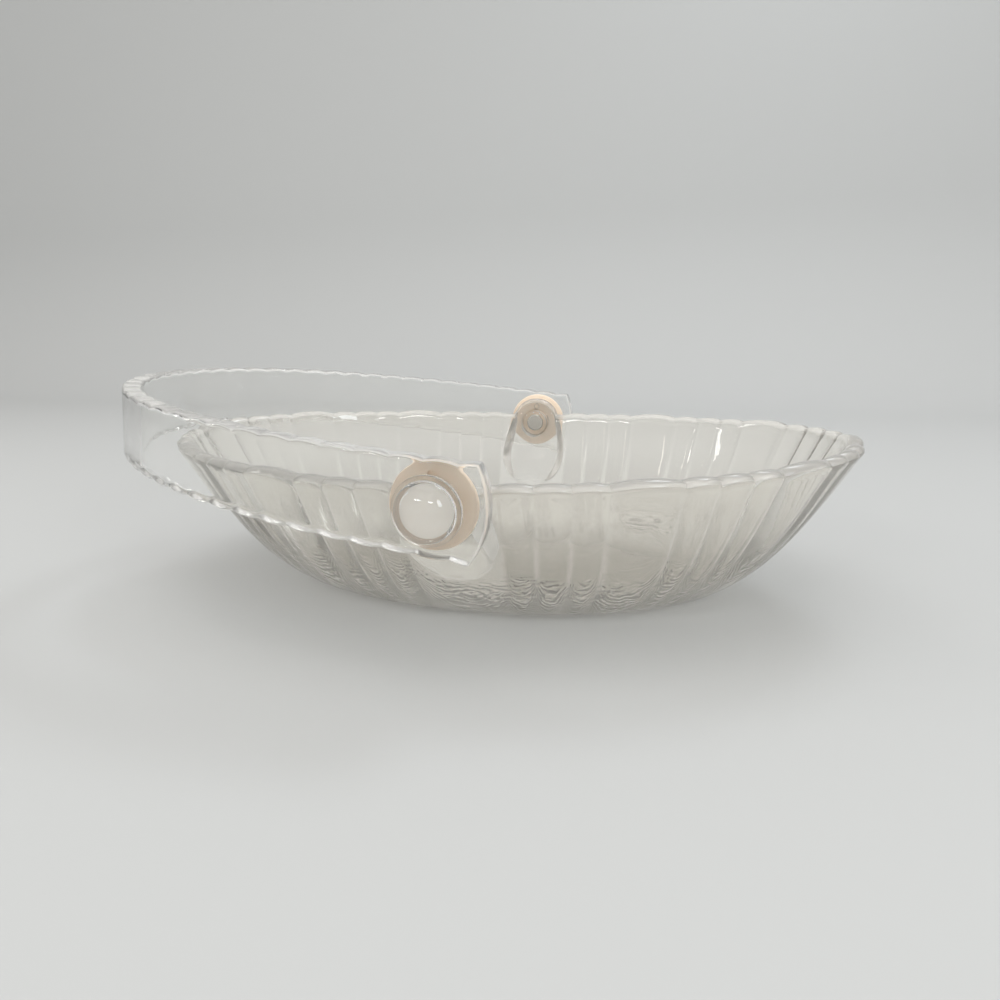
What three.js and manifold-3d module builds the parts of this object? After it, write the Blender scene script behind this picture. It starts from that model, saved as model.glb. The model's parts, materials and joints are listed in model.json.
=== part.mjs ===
// Oval pressed-glass basket: a lobed bowl with a scalloped, boat-shaped rim and a lug at the middle of
// each long side, and a clear acrylic handle that swings on two domed studs.
// Millimetres, +Z up, +X along the bowl, origin at the centre of the underside.
import * as THREE from 'three';
import { mergeVertices } from 'three/addons/utils/BufferGeometryUtils.js';
import Module from 'manifold-3d';

// Bowl: the oval and its wall
const rimHalfLength = 148.5; // to the grooves between the lobes
const rimHalfWidth = 94;
const rimHeightAtSides = 65;
const rimSheer = 4; // how much higher the rim stands at the two ends
const footHalfLength = 80;
const footHalfWidth = 41;
const footHeight = 1.5;
const wallPower = 0.48; // below 1 the wall leaves the foot flat and stands up towards the rim
const lipFlare = 1.5;
const lipFlarePower = 10; // the higher, the nearer to the rim the flare starts
const lipWidth = 6;
const lipRound = 1.2;
const floorThickness = 8;
const floorInset = 1; // from the foot's outline to the inside floor's

// Bowl: lobes pressed into the outside, in groups of narrow ones with a wide one after each group
const groupsPerQuarter = 3;
const narrowPerGroup = 3;
const wideSpan = 2; // a wide lobe spans this many narrow ones
const narrowLobeHeight = 1.6;
const wideLobeHeight = 2;
const lobePower = 2.4; // above 2 a lobe is flatter along its middle and steeper at its grooves
const narrowScallop = 0.9; // rise of the rim over a lobe
const wideScallop = 1.5;
const scallopPower = 8; // the higher, the nearer to the rim the rise starts
const lobeHeightAtFoot = 0.3; // share of a lobe's height that is left at the foot
const lobeLean = 0.17; // how far the grooves turn towards the ends on their way down, in radians

// Lugs
const pivotBelowRim = 4.5;
const lugRadius = 13;
const lugSpread = 2.5; // the lug's sides spread by this much on their way down
const lugProud = 2; // from the rim's side to the lug's flat face
const lugPanelHalf = 18; // half the width of the plain panel that the lug stands on
const lugSideBelowPivot = 18;
const lugBottomBow = 18.5; // how far the outline bows down between the ends of its sides
const lugFlatBelowPivot = 10.5; // below this the face turns in to the wall
const lugTailBend = 5; // how far down the turn's tangent runs
const lugTailLevel = 0.34; // where the tail meets the wall, from 0 at the foot to 1 at the rim

// Handle
const handleThickness = 7.5;
const handleWidthAtPivot = 33;
const handleWidthAtTop = 28;
const handleEndPastPivot = 19;
const handleEndRadius = 31;
const handleEdgeChamfer = 1;
const handleScallopPitch = 11;
const handleScallopDepth = 0.8;
const archGap = 11; // from the bowl's end to the inside of the arch
const archLegPull = 0.62; // how far the legs run before they bend, as a share of the reach
const archTopPull = 0.6; // how flat the top of the arch is, as a share of the half span
const restAngle = THREE.MathUtils.degToRad(7); // the handle lies this far above level

// Pivots
const shankRadius = 4;
const boreClearance = 0.3;
const seatGap = 0.3;
const washerThickness = 2.2;
const washerPastLug = 1.8;
const pipRadius = 1.1;
const pipLength = 1;
const pipAbovePivot = 8.4;
const knobRadius = 11.5;
const knobFlangeHeight = 2.4;
const knobShoulder = 1.4;
const knobDomeHeight = 7.2;
const knobChamfer = 0.5;
const lugWeb = 4.5; // glass left between the lug's face and the nut's recess
const innerWasherThickness = 1;
const nutWall = 2.6;
const nutThickness = 3.6;
const nutEndWall = 1.2;
const nutChamfer = 0.8;
const recessClearance = 0.9;

// Places that follow from the sizes above, out along the pivot axis
const lobedHalfLength = rimHalfLength + wideLobeHeight;
const pivotHeight = rimHeightAtSides - pivotBelowRim;
const lugFace = rimHalfWidth + lugProud;
const washerSeat = lugFace + seatGap;
const handleInside = washerSeat + washerThickness + seatGap;
const handleMiddle = handleInside + handleThickness / 2;
const knobSeat = handleInside + handleThickness + seatGap;
const boreRadius = shankRadius + boreClearance;
const washerRadius = lugRadius + washerPastLug;
const recessFace = lugFace - lugWeb;
const innerWasherSeat = recessFace - seatGap - innerWasherThickness;
const nutFace = innerWasherSeat - seatGap;
const nutRadius = shankRadius + nutWall;
const recessRadius = nutRadius + recessClearance;
const shankEnd = nutFace - nutThickness + nutEndWall + seatGap;
const archReach = lobedHalfLength + archGap + handleThickness / 2;

const glass = { color: 0xe3e8e4, roughness: 0.05, metalness: 0 };
const acrylic = { color: 0xeef1f2, roughness: 0.08, metalness: 0 };
const vinyl = { color: 0xcdbeaa, roughness: 0.45, metalness: 0 };

const wasm = await Module();
wasm.setup();

// Solids and meshes

function weld(geometry) {
  const bare = geometry.clone();
  bare.deleteAttribute('normal');
  bare.deleteAttribute('uv');
  return mergeVertices(bare);
}

function toSolid(geometry) {
  const welded = weld(geometry);
  const index = welded.index.array;
  const corners = [];
  for (let i = 0; i < index.length; i += 3) {
    const [a, b, c] = [index[i], index[i + 1], index[i + 2]];
    if (a !== b && b !== c && c !== a) corners.push(a, b, c);
  }
  const vertProperties = new Float32Array(welded.attributes.position.array);
  const triVerts = new Uint32Array(corners);
  return new wasm.Manifold(new wasm.Mesh({ numProp: 3, vertProperties, triVerts }));
}

function toGeometry(solid) {
  const { vertProperties, triVerts } = solid.getMesh();
  const geometry = new THREE.BufferGeometry();
  geometry.setAttribute('position', new THREE.BufferAttribute(new Float32Array(vertProperties), 3));
  geometry.setIndex(new THREE.BufferAttribute(new Uint32Array(triVerts), 1));
  geometry.computeVertexNormals();
  return geometry;
}

function makePiece(name, geometry, finish) {
  const piece = new THREE.Mesh(geometry, new THREE.MeshStandardMaterial(finish));
  piece.name = name;
  return piece;
}

// Skin over a row of rings that run the same way round, closed at both ends by a fan.
function loftRings(rings) {
  const around = rings[0].length;
  const points = rings.flat();
  const index = [];
  for (let row = 0; row + 1 < rings.length; row += 1) {
    for (let i = 0; i < around; i += 1) {
      const next = (i + 1) % around;
      const [a, b] = [row * around + i, row * around + next];
      const [c, d] = [b + around, a + around];
      index.push(a, b, c, a, c, d);
    }
  }
  for (const row of [0, rings.length - 1]) {
    const middle = new THREE.Vector3();
    rings[row].forEach((point) => middle.addScaledVector(point, 1 / around));
    const hub = points.push(middle) - 1;
    for (let i = 0; i < around; i += 1) {
      const edge = [row * around + i, row * around + (i + 1) % around];
      if (row === 0) edge.reverse();
      index.push(edge[0], edge[1], hub);
    }
  }
  const geometry = new THREE.BufferGeometry().setFromPoints(points);
  geometry.setIndex(index);
  return geometry;
}

// Outline in X and Z, drawn out along Y from nearY to farY.
function extrudeAlongY(shape, nearY, farY, curveSegments) {
  const depth = farY - nearY;
  const geometry = new THREE.ExtrudeGeometry(shape, { depth, bevelEnabled: false, curveSegments });
  return geometry.rotateX(Math.PI / 2).translate(0, farY, 0);
}

// Outline in Y and Z, drawn out along X to both sides of the middle.
function extrudeAlongX(shape, halfWidth, curveSegments) {
  const depth = 2 * halfWidth;
  const geometry = new THREE.ExtrudeGeometry(shape, { depth, bevelEnabled: false, curveSegments });
  const yAxis = new THREE.Vector3(0, 1, 0);
  const zAxis = new THREE.Vector3(0, 0, 1);
  const xAxis = new THREE.Vector3(1, 0, 0);
  geometry.applyMatrix4(new THREE.Matrix4().makeBasis(yAxis, zAxis, xAxis));
  return geometry.translate(-halfWidth, 0, 0);
}

// Round bar on the pivot axis, at a height above it.
function roundBar(radius, nearY, farY, above, segments) {
  const bar = new THREE.CylinderGeometry(radius, radius, farY - nearY, segments);
  return bar.translate(0, (nearY + farY) / 2, above);
}

// Bowl

// Columns of the outside from the middle of a long side to the end of the bowl. Each has its place round
// the oval and how far the lobe there has risen above the grooves.
function quarterColumns() {
  const quarter = new THREE.EllipseCurve(0, 0, rimHalfLength, rimHalfWidth, Math.PI / 2, 0, true);
  quarter.arcLengthDivisions = 400;
  const length = quarter.getLength();
  const spans = groupsPerQuarter * narrowPerGroup + (groupsPerQuarter - 0.5) * wideSpan;
  const narrowLength = (length - lugPanelHalf) / spans;
  const columns = [];
  function addColumn(along, rise, lobe, scallop) {
    const angle = (Math.PI / 2) * (1 - quarter.getUtoTmapping(Math.min(along / length, 1)));
    columns.push({ angle, lobe: lobe * rise, scallop: scallop * rise });
  }
  function addLobe(start, span, steps, lobe, scallop) {
    for (const step of steps) {
      addColumn(start + step * span, 1 - Math.abs(2 * step - 1) ** lobePower, lobe, scallop);
    }
    return start + span;
  }
  addColumn(0, 0, 0, 0);
  addColumn(lugPanelHalf / 2, 0, 0, 0);
  let along = lugPanelHalf;
  for (let group = 0; group < groupsPerQuarter; group += 1) {
    for (let n = 0; n < narrowPerGroup; n += 1) {
      along = addLobe(along, narrowLength, [0, 0.2, 0.5, 0.8], narrowLobeHeight, narrowScallop);
    }
    const lastWide = group === groupsPerQuarter - 1;
    const steps = lastWide ? [0, 0.13, 0.3, 0.5] : [0, 0.13, 0.3, 0.5, 0.7, 0.87];
    along = addLobe(along, narrowLength * wideSpan, steps, wideLobeHeight, wideScallop);
  }
  return columns;
}

// The quarter's columns mirrored into the whole oval, counter-clockwise from the +X end.
function ovalColumns() {
  const quarter = quarterColumns();
  const toSide = [...quarter].reverse();
  const turned = (columns, turn) => columns.map((column) => ({ ...column, angle: turn(column.angle) }));
  return [
    ...toSide.slice(0, -1),
    ...turned(quarter.slice(0, -1), (angle) => Math.PI - angle),
    ...turned(toSide.slice(0, -1), (angle) => Math.PI + angle),
    ...turned(quarter.slice(0, -1), (angle) => 2 * Math.PI - angle),
  ];
}

function rimHeight(angle) {
  return rimHeightAtSides + rimSheer * Math.cos(angle) ** 2;
}

// Point of an oval, moved out square to it.
function ovalPoint(halfLength, halfWidth, angle, outward, z) {
  const normal = new THREE.Vector2(Math.cos(angle) / halfLength, Math.sin(angle) / halfWidth).normalize();
  const x = halfLength * Math.cos(angle) + outward * normal.x;
  const y = halfWidth * Math.sin(angle) + outward * normal.y;
  return new THREE.Vector3(x, y, z);
}

// Angle of a column at a level that runs from 0 at the foot to 1 at the rim.
function leaningAngle(column, level) {
  return column.angle - lobeLean * (1 - level) * Math.sin(2 * column.angle);
}

// Point of the outside at such a level above the foot.
function outsidePoint(column, level, roundedIn) {
  const angle = leaningAngle(column, level);
  const spread = level ** wallPower;
  const flare = lipFlare * (level ** lipFlarePower - spread);
  const halfLength = footHalfLength + (rimHalfLength - footHalfLength) * spread + flare;
  const halfWidth = footHalfWidth + (rimHalfWidth - footHalfWidth) * spread + flare;
  const lobe = column.lobe * (lobeHeightAtFoot + (1 - lobeHeightAtFoot) * level);
  const wallHeight = rimHeight(angle) - footHeight;
  const z = footHeight + wallHeight * level + column.scallop * level ** scallopPower;
  return ovalPoint(halfLength, halfWidth, angle, lobe - roundedIn, z);
}

function outsideSolid() {
  const columns = ovalColumns();
  const footAngles = columns.map((column) => leaningAngle(column, 0));
  const footRing = footAngles.map((angle) => ovalPoint(footHalfLength, footHalfWidth, angle, 0, 0));
  const wallLevels = [0, 0.03, 0.1, 0.22, 0.4, 0.6, 0.79, 0.92, 0.98];
  const wallRings = wallLevels.map((level) => columns.map((column) => outsidePoint(column, level, 0)));
  const topRing = columns.map((column) => outsidePoint(column, 1, lipRound));
  return toSolid(loftRings([footRing, ...wallRings, topRing]));
}

// Smooth hollow of the bowl, carried straight up past the rim so that it also trims the lugs.
function hollowSolid() {
  const around = 96;
  const angles = Array.from({ length: around }, (_, i) => (2 * Math.PI * i) / around);
  const floorHalfLength = footHalfLength - floorInset;
  const floorHalfWidth = footHalfWidth - floorInset;
  const hollowTop = pivotHeight + lugRadius + lipWidth;
  const ringAt = (level, opened) => angles.map((angle) => {
    const spread = level ** wallPower;
    const halfLength = floorHalfLength + (rimHalfLength - lipWidth - floorHalfLength) * spread;
    const halfWidth = floorHalfWidth + (rimHalfWidth - lipWidth - floorHalfWidth) * spread;
    const z = floorThickness + (rimHeight(angle) - floorThickness) * level;
    return ovalPoint(halfLength, halfWidth, angle, opened, z);
  });
  const wallRings = [0, 0.04, 0.14, 0.32, 0.56, 0.8, 0.97].map((level) => ringAt(level, 0));
  const rimRing = ringAt(1, lipRound);
  const topRing = rimRing.map((point) => point.clone().setZ(hollowTop));
  return toSolid(loftRings([...wallRings, rimRing, topRing]));
}

// Lug on the +Y side: a round-topped tongue with a flat face, whose tail curves in under to the wall.
function lugSolid() {
  const sideHalfWidth = lugRadius + lugSpread;
  const sideBottom = pivotHeight - lugSideBelowPivot;
  const face = new THREE.Shape();
  face.absarc(0, pivotHeight, lugRadius, 0, Math.PI, false);
  face.lineTo(-sideHalfWidth, sideBottom);
  face.absellipse(0, sideBottom, sideHalfWidth, lugBottomBow, Math.PI, 2 * Math.PI, false, 0);
  face.closePath();
  const middle = { angle: Math.PI / 2, lobe: 0, scallop: 0 };
  const tailEnd = outsidePoint(middle, lugTailLevel, lipRound);
  const flatBottom = pivotHeight - lugFlatBelowPivot;
  const lugBack = lugFace - (rimHalfWidth - footHalfWidth);
  const lugTop = pivotHeight + lugRadius + lipRound;
  const side = new THREE.Shape();
  side.moveTo(lugBack, lugTop);
  side.lineTo(lugBack, tailEnd.z);
  side.lineTo(tailEnd.y, tailEnd.z);
  side.quadraticCurveTo(lugFace, flatBottom - lugTailBend, lugFace, flatBottom);
  side.lineTo(lugFace, lugTop);
  side.closePath();
  const tongue = toSolid(extrudeAlongY(face, lugBack - lipRound, lugFace + lipRound, 14));
  return tongue.intersect(toSolid(extrudeAlongX(side, sideHalfWidth + lipRound, 10)));
}

// What is cut out of the +Y lug: the stud's bore, the nut's recess and the washer's locating dimple.
function lugCuts() {
  const bore = roundBar(boreRadius, recessFace - lugWeb, lugFace + lugWeb, pivotHeight, 28);
  const recess = roundBar(recessRadius, rimHalfWidth - 3 * lipWidth, recessFace, pivotHeight, 32);
  const dimpleHeight = pivotHeight + pipAbovePivot;
  const dimpleFloor = washerSeat - pipLength - seatGap;
  const dimple = roundBar(pipRadius + boreClearance, dimpleFloor, lugFace + lugWeb, dimpleHeight, 16);
  return [bore, recess, dimple].map((geometry) => toSolid(geometry));
}

function makeBowl() {
  const halfTurn = [0, 0, 180];
  const lug = lugSolid();
  let solid = outsideSolid().add(lug).add(lug.rotate(halfTurn)).subtract(hollowSolid());
  for (const cut of lugCuts()) {
    solid = solid.subtract(cut).subtract(cut.rotate(halfTurn));
  }
  return makePiece('glass_bowl', toGeometry(solid), glass);
}

// Handle, drawn level with its arch towards -X and the pivot axis along Y through the origin

function handlePath() {
  const path = new THREE.CurvePath();
  const at = (x, y) => new THREE.Vector2(x, y);
  const legPull = -archReach * archLegPull;
  const topPull = handleMiddle * archTopPull;
  const top = at(-archReach, 0);
  const flatLeg = -washerRadius; // the legs stay flat as far as the washers reach
  const [front, rear] = [at(flatLeg, -handleMiddle), at(flatLeg, handleMiddle)];
  const stripEnd = handleEndPastPivot + handleEdgeChamfer; // left over for the round end's trim
  const [frontEnd, rearEnd] = [front, rear].map((leg) => at(stripEnd, leg.y));
  path.add(new THREE.LineCurve(frontEnd, front));
  path.add(new THREE.CubicBezierCurve(front, at(legPull, front.y), at(-archReach, -topPull), top));
  path.add(new THREE.CubicBezierCurve(top, at(-archReach, topPull), at(legPull, rear.y), rear));
  path.add(new THREE.LineCurve(rear, rearEnd));
  return path;
}

// Section of the strip at a place along the path, with its long edges chamfered.
function handleSection(path, along, halfWidth) {
  const middle = path.getPoint(along);
  const step = 0.001;
  const before = path.getPoint(Math.max(along - step, 0));
  const after = path.getPoint(Math.min(along + step, 1));
  const tangent = after.sub(before).normalize();
  const outward = new THREE.Vector2(tangent.y, -tangent.x);
  const halfThickness = handleThickness / 2;
  const [flat, edge] = [halfWidth - handleEdgeChamfer, halfThickness - handleEdgeChamfer];
  const corners = [
    [edge, -halfWidth], [-edge, -halfWidth], [-halfThickness, -flat], [-halfThickness, flat],
    [-edge, halfWidth], [edge, halfWidth], [halfThickness, flat], [halfThickness, -flat],
  ];
  return corners.map(([out, up]) => {
    const point = middle.clone().addScaledVector(outward, out);
    return new THREE.Vector3(point.x, point.y, up);
  });
}

function handleStrip() {
  const path = handlePath();
  const scallops = 2 * Math.round(path.getLength() / handleScallopPitch / 2);
  const steps = [0, 0.2, 0.5, 0.8];
  const rings = [];
  for (let i = 0; i <= scallops * steps.length; i += 1) {
    const step = steps[i % steps.length];
    const along = (Math.floor(i / steps.length) + step) / scallops;
    const towardsTop = Math.sin(Math.PI * along);
    const width = handleWidthAtPivot + (handleWidthAtTop - handleWidthAtPivot) * towardsTop;
    const dip = handleScallopDepth * Math.abs(2 * step - 1) ** 2;
    rings.push(handleSection(path, along, width / 2 - dip));
  }
  return toSolid(loftRings(rings));
}

// Side view of the strip with its round ends, as a block that trims both ends at once.
function handleEndTrim() {
  const halfHeight = handleWidthAtPivot / 2 + handleEdgeChamfer;
  const turn = Math.asin(halfHeight / handleEndRadius);
  const farEnd = -archReach - handleThickness;
  const outline = new THREE.Shape();
  outline.absarc(handleEndPastPivot - handleEndRadius, 0, handleEndRadius, -turn, turn, false);
  outline.lineTo(farEnd, halfHeight);
  outline.lineTo(farEnd, -halfHeight);
  outline.closePath();
  return toSolid(extrudeAlongY(outline, -knobSeat, knobSeat, 12));
}

function makeHandle() {
  const bore = toSolid(roundBar(boreRadius, -knobSeat, knobSeat, 0, 28));
  const solid = handleStrip().intersect(handleEndTrim()).subtract(bore);
  const handle = makePiece('swing_handle', toGeometry(solid), acrylic);
  handle.position.z = pivotHeight;
  handle.rotation.y = restAngle;
  return handle;
}

// Pivots, turned about the pivot axis: each profile gives radius and distance out along +Y

function turnProfile(points, segments) {
  return new THREE.LatheGeometry(points.map(([radius, along]) => new THREE.Vector2(radius, along)), segments);
}

function ringProfile(inner, outer, start, end) {
  return [[inner, start], [outer, start], [outer, end], [inner, end], [inner, start]];
}

function knobGeometry() {
  const flangeTop = knobSeat + knobFlangeHeight;
  const domeRadius = knobRadius - knobShoulder;
  const points = [
    [0, shankEnd],
    [shankRadius - knobChamfer, shankEnd],
    [shankRadius, shankEnd + knobChamfer],
    [shankRadius, knobSeat],
    [knobRadius - knobChamfer, knobSeat],
    [knobRadius, knobSeat + knobChamfer],
    [knobRadius, flangeTop - knobChamfer],
    [knobRadius - knobChamfer, flangeTop],
  ];
  const domeSteps = 6;
  for (let i = 0; i <= domeSteps; i += 1) {
    const turn = (Math.PI / 2) * (i / domeSteps);
    const radius = i === domeSteps ? 0 : domeRadius * Math.cos(turn);
    points.push([radius, flangeTop + knobDomeHeight * Math.sin(turn)]);
  }
  return turnProfile(points, 30);
}

function outerWasherGeometry() {
  const washerEnd = washerSeat + washerThickness;
  const disc = turnProfile(ringProfile(boreRadius, washerRadius, washerSeat, washerEnd), 36);
  const pipRoot = washerSeat + washerThickness / 2;
  const pip = roundBar(pipRadius, washerSeat - pipLength, pipRoot, pipAbovePivot, 16);
  return toGeometry(toSolid(disc).add(toSolid(pip)));
}

function innerWasherGeometry() {
  const end = innerWasherSeat + innerWasherThickness;
  return turnProfile(ringProfile(boreRadius, nutRadius, innerWasherSeat, end), 24);
}

function capNutGeometry() {
  const back = nutFace - nutThickness;
  const boreFloor = back + nutEndWall;
  return turnProfile([
    [0, back],
    [nutRadius - nutChamfer, back],
    [nutRadius, back + nutChamfer],
    [nutRadius, nutFace],
    [boreRadius, nutFace],
    [boreRadius, boreFloor],
    [0, boreFloor],
  ], 24);
}

function makePivot(side, turn) {
  const pivot = new THREE.Group();
  pivot.add(makePiece(`pivot_knob_${side}`, knobGeometry(), acrylic));
  pivot.add(makePiece(`outer_washer_${side}`, outerWasherGeometry(), vinyl));
  pivot.add(makePiece(`inner_washer_${side}`, innerWasherGeometry(), vinyl));
  pivot.add(makePiece(`cap_nut_${side}`, capNutGeometry(), acrylic));
  pivot.position.z = pivotHeight;
  pivot.rotation.z = turn;
  return pivot;
}

const basket = new THREE.Group();
basket.add(makeBowl());
basket.add(makeHandle());
basket.add(makePivot('rear', 0));
basket.add(makePivot('front', Math.PI));

export default basket;
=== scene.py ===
import json
import math
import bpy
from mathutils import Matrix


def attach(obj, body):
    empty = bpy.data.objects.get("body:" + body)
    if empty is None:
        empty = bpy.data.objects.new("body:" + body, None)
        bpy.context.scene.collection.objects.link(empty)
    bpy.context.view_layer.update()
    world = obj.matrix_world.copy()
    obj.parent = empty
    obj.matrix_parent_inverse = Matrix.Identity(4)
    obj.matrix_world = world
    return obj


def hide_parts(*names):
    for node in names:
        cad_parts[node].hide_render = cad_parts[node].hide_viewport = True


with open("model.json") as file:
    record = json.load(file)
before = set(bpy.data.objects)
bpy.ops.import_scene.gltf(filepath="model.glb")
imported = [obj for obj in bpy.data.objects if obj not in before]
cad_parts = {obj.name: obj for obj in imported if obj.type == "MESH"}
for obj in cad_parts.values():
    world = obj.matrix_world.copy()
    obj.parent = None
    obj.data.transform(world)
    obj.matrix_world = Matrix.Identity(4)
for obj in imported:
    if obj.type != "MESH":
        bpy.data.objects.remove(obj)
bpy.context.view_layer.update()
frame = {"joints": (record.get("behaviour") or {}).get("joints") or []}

from types import SimpleNamespace

import bmesh
import bpy
import numpy as np
from mathutils import Matrix, Vector

MM = 0.001
FACING_AN_EDGE = 0.4  # least share of a face's normal that looks an edge's way if the face belongs to it

# Bowl, in millimetres: the oval and its wall
RIM_HALF_LENGTH = 148.5
RIM_HALF_WIDTH = 94.0
RIM_HEIGHT_AT_SIDES = 65.0
RIM_SHEER = 4.0  # how much higher the rim is at the ends
FOOT_HALF_LENGTH = 80.0
FOOT_HALF_WIDTH = 41.0
FOOT_HEIGHT = 1.5
FOOT_EDGE_ROUND = 0.6
WALL_POWER = 0.48  # below 1, so the wall starts flat at the foot and ends steep at the rim
LIP_FLARE = 1.5
LIP_FLARE_POWER = 10
LIP_WIDTH = 6.0
LIP_ROUND = 2.8
LIP_FULLNESS = 0.85  # power of the lip's round; 1 would be a true arc
LIP_OPEN = 1.2
LIP_OPEN_FROM = 0.93  # share of the height at which the inside starts to open
FLOOR_THICKNESS = 8.0
FLOOR_INSET = 1.0

# Bowl: lobes
GROUPS_PER_QUARTER = 3
NARROW_PER_GROUP = 3
WIDE_SPAN = 2  # width of a wide lobe in narrow ones
NARROW_LOBE = 1.6
WIDE_LOBE = 2.0
LOBE_POWER = 2.4
NARROW_SCALLOP = 0.9
WIDE_SCALLOP = 1.5
LOBE_AT_FOOT = 0.3  # share of a lobe's rise that is left at the foot
LOBE_LEAN = 0.11

# Bowl: columns of the mesh along a quarter of the oval
ARC_STEPS = 4001
PANEL_COLUMNS = 18
LUG_EDGE_COLUMNS = 22
LUG_EDGE_MARGIN = 2.5
NARROW_COLUMNS = 10
WIDE_COLUMNS = 18

# Bowl: rings of the mesh, from the middle of the foot up over the rim to the middle of the floor
FOOT_SHARES = (0.04, 0.2, 0.4, 0.6, 0.8, 0.93)
FOOT_EDGE_STEPS = 5
WALL_ROWS = 61
LIP_STEPS = 14
INNER_ROWS = 45
FLOOR_SHARES = (0.95, 0.85, 0.7, 0.5, 0.3, 0.1)
ROW_POWER = 1.7  # crowds the rows towards the foot, where the wall curves most
FIRST_LIP_ROW = len(FOOT_SHARES) + FOOT_EDGE_STEPS + WALL_ROWS
WORN_FOOT_ROWS = range(len(FOOT_SHARES) - 2, len(FOOT_SHARES) + FOOT_EDGE_STEPS)
FLAMED_RIM_ROWS = range(FIRST_LIP_ROW, FIRST_LIP_ROW + LIP_STEPS - 2)

# Lugs
PIVOT_HEIGHT = frame["joints"][0]["pos_m"][2] / MM
LUG_RADIUS = 13.0
LUG_SPREAD = 2.5
LUG_PROUD = 2.0
LUG_PANEL_HALF = 18.0  # half width of the plain stretch of wall round a lug
LUG_SIDE_BELOW_PIVOT = 18.0
LUG_BOTTOM_BOW = 18.5
LUG_FLAT_BELOW_PIVOT = 10.5
LUG_TAIL_BEND = 5.0
LUG_TAIL_LEVEL = 0.34  # share of the wall's height at which the lug's tail runs out
LUG_SIDE_SLOPE = 6.0
LUG_EDGE_ROUND = 1.4
LUG_FILLET = 3.0
LUG_TOP_FILLET = 1.2
LUG_ZONE_HALF = 2.5 * LUG_RADIUS
LUG_FACE = RIM_HALF_WIDTH + LUG_PROUD

# Handle
HANDLE_THICKNESS = 7.5
HANDLE_WIDTH_AT_PIVOT = 33.0
HANDLE_WIDTH_AT_TOP = 28.0
HANDLE_END_PAST_PIVOT = 19.0
HANDLE_END_RADIUS = 31.0
HANDLE_EDGE_ROUND = 1.3
SCALLOP_PITCH = 11.0
SCALLOP_DEPTH = 0.8
ARCH_GAP = 11.0
ARCH_LEG_PULL = 0.62
ARCH_TOP_PULL = 0.6
REST_ANGLE = math.radians(7)

# Handle: steps of the mesh
ARCH_STEPS = 1500
LEG_STEPS = 300
END_STEPS = 16
END_FIRST_TURN = 0.03
END_TO_BODY = 0.4
STEPS_PER_SCALLOP = 9
STEPS_ACROSS = 25
TANGENT_REACH = 0.6
LEAST_HALF_WIDTH = 0.1

# Pivots
SHANK_RADIUS = 4.0
BORE_CLEARANCE = 0.3
SEAT_GAP = 0.3
WASHER_THICKNESS = 2.2
WASHER_PAST_LUG = 1.8
PIP_RADIUS = 1.1
PIP_LENGTH = 1.0
PIP_ABOVE_PIVOT = 8.4
PIP_MARK_RADIUS = 1.5
PIP_MARK_DEPTH = 1.2
PIP_MARK_ABOVE_PIVOT = 10.2
KNOB_RADIUS = 11.5
KNOB_FLANGE = 2.4
KNOB_SHOULDER = 1.4
KNOB_DOME = 7.2
KNOB_FROST_RADIUS = 6.5
SHANK_JOIN = 0.05  # hairline between the stud's cap and its shank
LUG_WEB = 4.5
INNER_WASHER_THICKNESS = 1.0
NUT_WALL = 2.6
NUT_THICKNESS = 3.6
NUT_END_WALL = 1.2
RECESS_CLEARANCE = 0.9

# Pivots: places along the axis, measured out from the middle of the bowl, and radii
WASHER_SEAT = LUG_FACE + SEAT_GAP
HANDLE_INSIDE = WASHER_SEAT + WASHER_THICKNESS + SEAT_GAP
HANDLE_MIDDLE = HANDLE_INSIDE + HANDLE_THICKNESS / 2
HANDLE_OUTSIDE = HANDLE_INSIDE + HANDLE_THICKNESS
KNOB_SEAT = HANDLE_OUTSIDE + SEAT_GAP
RECESS_FACE = LUG_FACE - LUG_WEB
INNER_WASHER_SEAT = RECESS_FACE - SEAT_GAP - INNER_WASHER_THICKNESS
NUT_FACE = INNER_WASHER_SEAT - SEAT_GAP
SHANK_END = NUT_FACE - NUT_THICKNESS + NUT_END_WALL + SEAT_GAP
BORE_RADIUS = SHANK_RADIUS + BORE_CLEARANCE
WASHER_RADIUS = LUG_RADIUS + WASHER_PAST_LUG
NUT_RADIUS = SHANK_RADIUS + NUT_WALL
RECESS_RADIUS = NUT_RADIUS + RECESS_CLEARANCE
ARCH_REACH = RIM_HALF_LENGTH + WIDE_LOBE + ARCH_GAP + HANDLE_THICKNESS / 2

# Pivots: fillets, chamfers and steps of the mesh
ON_AXIS = 0.02  # a turned profile ends this close to its axis, and a fan closes it
FINE_FILLET = 0.3
EDGE_FILLET = 0.5
FLANGE_FILLET = 0.6
PIP_FILLET = 0.35
PIP_MARK_FILLET = 0.4
RECESS_FILLET = 0.8
NUT_BACK_FILLET = 1.1
NUT_BORE_FILLET = 0.2
LUG_BORE_CHAMFER = 0.4
HANDLE_BORE_CHAMFER = 0.5
CUTTER_SLACK = 3.0
RECESS_CUT_DEPTH = 18.0  # how far inside the rim the recess's cutter starts
FILLET_STEPS = 5
DOME_STEPS = 28
PIP_SEGMENTS = 32
BORE_SEGMENTS = 64
DISC_SEGMENTS = 96

# Glass: chill wrinkles, in metres; a fade gives the value of no effect, then that of full effect
WRINKLE_PITCH = 0.0026
WRINKLE_SAG = 0.012
WRINKLE_WANDERS = ((34, 0.026), (120, 0.009))  # waves per metre, and how far they carry the lines
WRINKLE_PATCHES = 60  # waves per metre
WRINKLE_PATCH_FADE = (0.3, 0.7)
WRINKLE_GROOVE_FADE = (-0.3, 0.5)
# how the painted shade on the wrinkles' crests grows with the wrinkles' height
CREST_SHADE_FADE = (0.05, 0.6)
WRINKLE_TOP_FADE = (0.038, 0.020)
WRINKLE_FOOT_FADE = (0.002, 0.006)
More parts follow.
